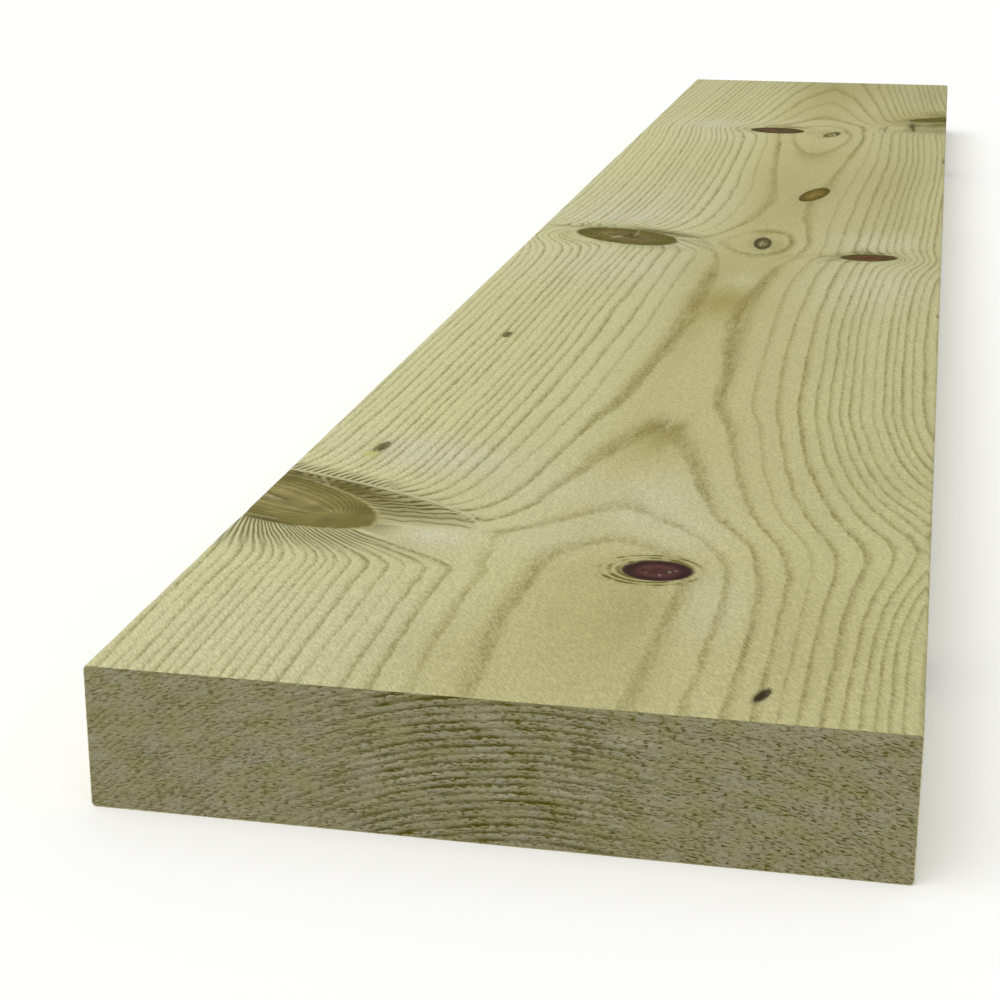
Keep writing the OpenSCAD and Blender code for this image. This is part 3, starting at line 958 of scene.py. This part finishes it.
# %% Place of the year lines
sway_mm = put("MapRange", [sway, 0.0, 1.0, -2.0, 2.0])
fine_mm = put("MapRange", [fine_sway, 0.0, 1.0, -1.0, 1.0])
both_mm = put("Math", [sway_mm, fine_mm], "ADD")
face_loose = put("MapRange", [year_gap_at, 1.2, 14.0, 0.35, 1.5])
looser = put("MapRange", [end_at, 0.0, 1.0, face_loose, 0.28])
loose_mm = put("Math", [both_mm, looser], "MULTIPLY")
shift = put("Math", [loose_mm, year_gap_at], "DIVIDE")
row_jog = put("MapRange", [dashes, 0.0, 1.0, -0.5, 0.5])
end_jog = put("Math", [row_jog, end_at, shift], "MULTIPLY_ADD")
year_now = put("Math", [year_at, end_jog], "ADD")
year_half = put("Math", [year_now, 0.5], "ADD")
season = put("Math", [year_half], "FRACT")
which_year = put("Math", [year_half], "FLOOR")
from_line = put("Math", [season, 0.5], "SUBTRACT")
from_line_mm = put("Math", [from_line, year_gap_at], "MULTIPLY")
luck = put("TexWhiteNoise", [which_year], noise_dimensions="1D")

# %% Width of the year lines
gap_wide = put("Math", [year_gap_at, 0.17, 0.85], "MULTIPLY_ADD")
bolder = put("Math", [bold_at, 0.4, 1.0], "MULTIPLY_ADD")
knot_wide = put("Math", [gap_wide, bolder], "MULTIPLY")
thin_end = put("MapRange", [end_at, 0.0, 1.0, 1.0, 0.9])
harder = put("Math", [hard_at, 0.7, thin_end], "MULTIPLY_ADD")
hard_wide = put("Math", [knot_wide, harder], "MULTIPLY")
wide_luck = put("MapRange", [luck, 0.0, 1.0, 0.8, 1.25])
line_wide = put("Math", [hard_wide, wide_luck], "MULTIPLY")
line_spot = put("Math", [from_line_mm, line_wide], "DIVIDE")
line_span = put("MapRange", [line_spot, -0.7, 1.3])
line = put("ValToRGB", [line_span])
line.color_ramp.interpolation = "EASE"
for end in line.color_ramp.elements:
    end.color = paint("#000000")
for spot, depth in ((0.12, 0.05), (0.27, 0.85), (0.36, 1.0), (0.48, 0.72), (0.72, 0.22)):
    line.color_ramp.elements.new(spot).color = (depth, depth, depth, 1.0)

# %% Strength of the year lines
year_strength = put("MapRange", [luck, 0.0, 1.0, 0.48, 0.95])
break_up = put("MapRange", [breaks, 0.3, 0.7, 0.55, 1.15])
force_knot = put("Math", [bold_at, 0.75, 0.85], "MULTIPLY_ADD")
line_force = put("Math", [hard_at, 0.35, force_knot], "MULTIPLY_ADD")
wide_fade = put("MapRange", [year_gap_at, 8.0, 26.0, 1.0, 0.72])
faint_fade = put("MapRange", [faint_at, 0.0, 1.0, 1.0, 0.1])
both_fade = put("Math", [wide_fade, faint_fade], "MULTIPLY")
fleck_turn = put("Mapping",
                 {"Vector": place, "Rotation": (0.0, 0.0, math.radians(-56.0)),
                  "Scale": (0.0028, 0.0006, 0.0028)}, vector_type="TEXTURE")
flecks = put("TexNoise", [fleck_turn, 1.0, 1.0])
beside_knot = put("Math", [crowd_at, lash_shows], "MAXIMUM")
drawn_hard = put("Math", [beside_knot, bold_at], "MAXIMUM")
fleck_force = put("MapRange", [drawn_hard, 0.0, 0.6, 1.0, 0.2])
fleck_off = put("Math", [flecks, 0.5], "SUBTRACT")
fleck_now = put("Math", [fleck_off, fleck_force, 0.5], "MULTIPLY_ADD")
fleck_break = put("MapRange", [fleck_now, 0.36, 0.64, 1.18, 0.72])
line_now = line
for part in (year_strength, break_up, both_fade, line_force):
    line_now = put("Math", [line_now, part], "MULTIPLY")
line_now = put("Math", [line_now, fleck_break], "MULTIPLY", use_clamp=True)
instead = put("Math", [fringe_shows, beside_knot], "MAXIMUM")
no_fringe = put("Math", [1.0, instead], "SUBTRACT", use_clamp=True)
line_now = put("Math", [line_now, no_fringe], "MULTIPLY")

# %% Fringe, crowded lines and lashes beside the knots
stroke_jog = put("Math", [fine_mm, 0.14, stroke_at], "MULTIPLY_ADD")
stroke_wave = put("Math", [stroke_jog, 0.5], "PINGPONG")
stroke_half = put("MapRange", [stroke_at, 0.0, 9.0, 0.16, 0.25])
stroke_spot = put("Math", [stroke_wave, stroke_half], "DIVIDE")
stroke_dark = put("MapRange", [stroke_spot, 1.45, 0.55])
stroke_shown = put("Math", [stroke_dark, fringe_shows], "MULTIPLY")
crowd_years = put("Math", [year_now, 1.5], "MULTIPLY")
lash_jog = put("Math", [fine_mm, 0.2, lash_at], "MULTIPLY_ADD")
drawn = []
for count, core, shows in ((crowd_years, 0.14, crowd_at), (lash_jog, 0.16, lash_shows)):
    wave = put("Math", [count, 0.5], "PINGPONG")
    dark = put("MapRange", [wave, 0.36, core])
    drawn.append(put("Math", [dark, shows], "MULTIPLY"))
near_lines = put("Math", drawn, "MAXIMUM")
stroke_share = put("Math", [stroke_shown, near_lines], "MAXIMUM", use_clamp=True)
print("nodes for the lines", len(tree.nodes))

# %% [markdown]
# The ground is palest at the left edge, and deeper from the middle on. Towards the far end it
# is darkened by painted shade, for light that falls off there. Stains from the skin lie on it,
# then the lines, then the speckle and fibres that lighten and darken it a little.

# %% Ground colour of the planed wood
cloud_share = put("MapRange", [cloud, 0.32, 0.68])
place_x, place_y, _ = put("SeparateXYZ", [place]).outputs
across_drift = put("Math", [cloud, 0.05, place_x], "MULTIPLY_ADD")
across_share = put("MapRange", [across_drift, -0.1, 0.15])
ground_across = put("ValToRGB", [across_share])
ground_across.color_ramp.interpolation = "EASE"
for end, hue in zip(ground_across.color_ramp.elements, ("#cbc898", "#bcb888")):
    end.color = paint(hue)
for spot, hue in ((0.36, "#c4c090"), (0.52, "#b9b27f"), (0.70, "#b9b383")):
    ground_across.color_ramp.elements.new(spot).color = paint(hue)
# painted shade: from 0.45 to 0.8 m along, the ground darkens by 8 % towards the far end, for light
# falling off there
far_painted_shade = put("MapRange", [place_y, 0.45, 0.8, 1.0, 0.92])
cloud_tone = put("MapRange", [cloud_share, 0.0, 1.0, 0.95, 1.04])
near_lift = put("MapRange", [place_y, -0.62, -0.35, 1.03, 1.0])
both_dims = put("Math", [near_lift, far_painted_shade], "MULTIPLY")
cloud_dim = put("Math", [cloud_tone, both_dims], "MULTIPLY")
ground = put("VectorMath", [ground_across, cloud_dim], "SCALE")
paler = put("Mix", [pale_at, ground, paint("#cac8a9")])
browned = put("Mix", [brown_at, paler, paint("#9c9150")])
olive_more = put("Math", [shade_at, 0.7, olive_at], "MULTIPLY_ADD")
olive_share = put("Math", [olive_more, 0.88], "MULTIPLY", use_clamp=True)
olive_right = put("MapRange", [place_x, 0.06, 0.105])
olive_hue = put("Mix", [olive_right, paint("#756c34"), paint("#6a6008")])
olived = put("Mix", [olive_share, browned, olive_hue])
dark_share = put("Math", [olive_at, bold_at], "MAXIMUM")
line_hue = put("Mix", [dark_share, paint("#857d44"), paint("#60552c")])
hard_hue = put("Mix", [hard_at, line_hue, paint("#85793a")])
year_lined = put("Mix", [line_now, olived, hard_hue])
lined = put("Mix", [stroke_share, year_lined, paint("#5c542b")])
fleck_light = put("MapRange", [fleck_now, 0.34, 0.7, 0.87, 1.16])
fibre_light = put("MapRange", [fibres, 0.25, 0.75, 0.95, 1.05])
light_both = put("Math", [fleck_light, fibre_light], "MULTIPLY")
planed = put("VectorMath", [lined, light_both], "SCALE")
print("nodes with the ground", len(tree.nodes))

# %% [markdown]
# A knot is drawn from its own two coordinates, with the rim at 1, made a little ragged. Inside
# it the rings run round its pith streak. At the rim a dead knot has a dark band of bark and a
# live one a pale one, and some have thin dark rings round them, thickest where wood is pinched.

# %% Wood of the knots
ragged_size = put("MapRange", [ragged, 0.0, 1.0, -0.05, 0.05])
knot_flat = put("CombineXYZ", [knot_across, knot_along])
knot_exact = put("VectorMath", [knot_flat], "LENGTH")
knot_least = put("Math", [knot_far, 0.85], "MULTIPLY")
knot_out = put("Math", [knot_exact, knot_least], "MAXIMUM")
knot_r = put("Math", [knot_out, ragged_size], "ADD")
inside = put("MapRange", [knot_r, 1.035, 0.955], interpolation_type="SMOOTHSTEP")
ring_count = put("Math", [streak_at, knot_rings], "MULTIPLY")
ring_jog = put("Math", [ragged_size, 6.0, ring_count], "MULTIPLY_ADD")
ring_wave = put("Math", [ring_jog, 0.5], "PINGPONG")
ring_tone = put("MapRange", [ring_wave, 0.1, 0.46, -0.14, 0.24])
ring_near = put("MapRange", [streak_at, 10.0, 16.0, 1.0, 0.25])
ring_dark = put("Math", [ring_tone, ring_near, 1.0], "MULTIPLY_ADD")
blotch_light = put("MapRange", [blotch, 0.3, 0.7, 0.8, 1.2])
heart_light = put("Math", [ring_dark, blotch_light], "MULTIPLY")
edge_share = put("MapRange", [knot_r, 0.3, 0.9], interpolation_type="SMOOTHSTEP")
two_tone = put("Mix", [edge_share, heart_at, edge_at])
heart_now = put("VectorMath", [two_tone, heart_light], "SCALE")
with_knots = put("Mix", [inside, planed, heart_now])

# %% Rim and halo of the knots
rim_gap = put("Math", [knot_r, 1.0], "SUBTRACT")
rim_gap_abs = put("Math", [rim_gap], "ABSOLUTE")
rim_gap_mm = put("Math", [rim_gap_abs, knot_half_at], "MULTIPLY")
rim_band = put("MapRange", [rim_gap_mm, 1.1, 0.2], interpolation_type="SMOOTHSTEP")
rim_dark = put("Math", [rim_band, knot_rim], "MULTIPLY", use_clamp=True)
rim_flip = put("Math", [knot_rim, -1.0], "MULTIPLY")
rim_light = put("Math", [rim_band, rim_flip], "MULTIPLY", use_clamp=True)
halo_off = put("VectorMath", [knot_flat, (0.18, 0.0, 0.0)], "ADD")
halo_length = put("VectorMath", [halo_off], "LENGTH")
halo_least = put("Math", [knot_far, 0.8], "MULTIPLY")
halo_r = put("Math", [halo_length, halo_least], "MAXIMUM")
halo_from = put("Math", [halo_r, 0.16], "SUBTRACT")
halo_wave = put("Math", [halo_from, 0.13], "PINGPONG")
halo_thin = put("MapRange", [halo_wave, 0.1, 0.04])
halo_tall = put("Math", [knot_along], "ABSOLUTE")
halo_up = put("Math", [halo_tall, 0.62, 0.32], "MULTIPLY_ADD")
halo_side = put("Math", [knot_across, -0.22, halo_up], "MULTIPLY_ADD", use_clamp=True)
halo_gate = put("MapRange", [blotch, 0.42, 0.55, 0.15, 1.1])
halo_uneven = put("Math", [halo_gate, halo_side], "MULTIPLY")
halo_reach = put("MapRange", [halo_r, 1.7, 1.56])
halo_start = put("Math", [knot_r, 1.0], "GREATER_THAN")
halo = halo_thin
for part in (halo_uneven, halo_reach, halo_start, knot_halo):
    halo = put("Math", [halo, part], "MULTIPLY")

# %% Marks, the pale seam and resin
seam_jog = put("Math", [ragged_size, 20.0, seam_at], "MULTIPLY_ADD")
seam_abs = put("Math", [seam_jog], "ABSOLUTE")
seam_thin = put("MapRange", [seam_abs, 1.25, 0.25, 0.0, 0.65])
seam_line = put("Math", [seam_thin, seam_shows], "MULTIPLY")
pale_line = put("Math", [seam_line, pale_mark_at], "MAXIMUM")
planed_done = with_knots
for share, hue in ((rim_dark, "#4e4429"), (rim_light, "#b5ab77"), (halo, "#676128"),
                   (mark_at, "#332b0a"), (pale_line, "#cdc89f"), (torn_at, "#c2c070")):
    planed_done = put("Mix", [share, planed_done, paint(hue)])
print("nodes with the knots", len(tree.nodes))

# %% [markdown]
# On the sawn end the same rings come out as rows, because the skin carries their years there
# too. The saw has torn them into short dark dashes with pale tufts between, and the relief
# carved above catches the light, so colour and relief use the same grid.

# %% Sawn end grain
dash_gather = put("Math", [cluster, 0.24, dashes], "MULTIPLY_ADD")
dash_dark = put("MapRange", [dash_gather, 0.64, 0.76])
dash_side = put("MapRange", [place_x, -0.09, 0.06, 0.8, 0.95])
dash_pale = put("MapRange", [dashes, 0.46, 0.3])
torn_light = put("MapRange", [torn_grain, 0.3, 0.7, 0.82, 1.2])
row_gate = put("MapRange", [cluster, 0.38, 0.58, 0.42, 1.15])
row_patchy = put("Math", [line, row_gate], "MULTIPLY")
row = put("Math", [row_patchy, olive_at], "MULTIPLY", use_clamp=True)
dash_share = put("Math", [dash_dark, dash_side], "MULTIPLY")
end_dark = put("Math", [row, dash_share], "MAXIMUM")
tuft_share = put("MapRange", [tuft, 0.36, 0.66])
# partly painted shade: these end colours are the end grain's own darker tone, and also the shade of an
# end that gets less of the light from above than the top
end_ground = put("Mix", [tuft_share, paint("#938f66"), paint("#98947a")])
end_pale_share = put("Math", [dash_pale, 0.45, pale_at], "MULTIPLY_ADD", use_clamp=True)
end_paler = put("Mix", [end_pale_share, end_ground, paint("#a6a286")])
end_lit = put("VectorMath", [end_paler, torn_light], "SCALE")
end_colour = put("Mix", [end_dark, end_lit, paint("#544c04")])
whole = put("Mix", [end_at, planed_done, end_colour])
print("nodes with the end grain", len(tree.nodes))

# %% Put the surface together
grain_height = put("Math", [fibres, flecks], "ADD")
end_height = put("Math", [dashes, -3.0], "MULTIPLY")
height = put("Mix", [end_at, grain_height, end_height], data_type="FLOAT")
bump = put("Bump", {"Height": height, "Strength": 0.5, "Distance": 0.00012})
surface = put("BsdfPrincipled",
              {"Base Color": whole, "Roughness": 0.75, "IOR": 1.5, "Specular IOR Level": 0.1,
               "Normal": bump})
put("OutputMaterial", {"Surface": surface})
skin.materials.append(wood)
print("wood nodes", len(tree.nodes))

# %% [markdown]
# The studio: a pale floor and plain soft light from above, level enough that a colour shows
# about as it is written. The floor looks white to the camera and still takes the shadow.

# %% Floor
FLOOR_REACH = 6.0
floor_mesh = bpy.data.meshes.new("studio_floor")
floor_corners = [(a * FLOOR_REACH, b * FLOOR_REACH, 0) for a, b in ((-1, -1), (1, -1), (1, 1), (-1, 1))]
floor_mesh.from_pydata(floor_corners, [], [(0, 1, 2, 3)])
floor = bpy.data.objects.new("studio_floor", floor_mesh)
bpy.context.scene.collection.objects.link(floor)
paper = bpy.data.materials.new("pale_floor")
paper.use_nodes = True
tree = paper.node_tree
tree.nodes.clear()
to_eye = put("LightPath").outputs["Is Camera Ray"]
floor_lift = put("Math", [to_eye, 0.1], "MULTIPLY")
matt = put("BsdfPrincipled",
           {"Base Color": paint("#f6f6f4"), "Roughness": 1.0, "Specular IOR Level": 0.0,
            "Emission Color": paint("#ffffff"), "Emission Strength": floor_lift})
put("OutputMaterial", [matt])
floor_mesh.materials.append(paper)
print("floor", 2 * FLOOR_REACH, "m square")

# %% Light
SKY_LIGHT, SUN_LIGHT, SUN_WIDTH = 0.55, 1.5, 60
sky = bpy.data.worlds.new("studio_light")
bpy.context.scene.world = sky
sky.use_nodes = True
tree = sky.node_tree
tree.nodes.clear()
to_things = put("Background", {"Color": paint("#ffffff"), "Strength": SKY_LIGHT})
to_camera = put("Background", {"Color": paint("#ffffff"), "Strength": 1.0})
to_eye = put("LightPath").outputs["Is Camera Ray"]
put("OutputWorld", [put("MixShader", [to_eye, to_things, to_camera])])
lamp_data = bpy.data.lights.new("soft_daylight", "SUN")
lamp_data.energy = SUN_LIGHT
lamp_data.angle = math.radians(SUN_WIDTH)
lamp = bpy.data.objects.new("soft_daylight", lamp_data)
lamp.rotation_euler = (math.radians(18), math.radians(-14), 0)
bpy.context.scene.collection.objects.link(lamp)
print("sky", SKY_LIGHT, "sun", SUN_LIGHT, "and", SUN_WIDTH, "degrees wide")

# %% Camera
eye_data = bpy.data.cameras.new("studio_camera")
eye_data.lens = 75.2
eye_data.sensor_width = 36.0
eye = bpy.data.objects.new("studio_camera", eye_data)
TURN, TIP, ROLL = 11.743, 17.772, 0.072  # degrees: to the left, down, and askew
turned = Matrix.Rotation(math.radians(TURN), 4, "Z")
tipped = Matrix.Rotation(math.radians(90.0 - TIP), 4, "X")
rolled = Matrix.Rotation(math.radians(ROLL), 4, "Z")
eye.matrix_world = Matrix.Translation((0.11786, -1.34823, 0.28752)) @ turned @ tipped @ rolled
bpy.context.scene.collection.objects.link(eye)
bpy.context.scene.camera = eye
bpy.context.scene.view_settings.view_transform = "Standard"
print("camera", [round(v, 3) for v in eye.matrix_world.translation], "m")
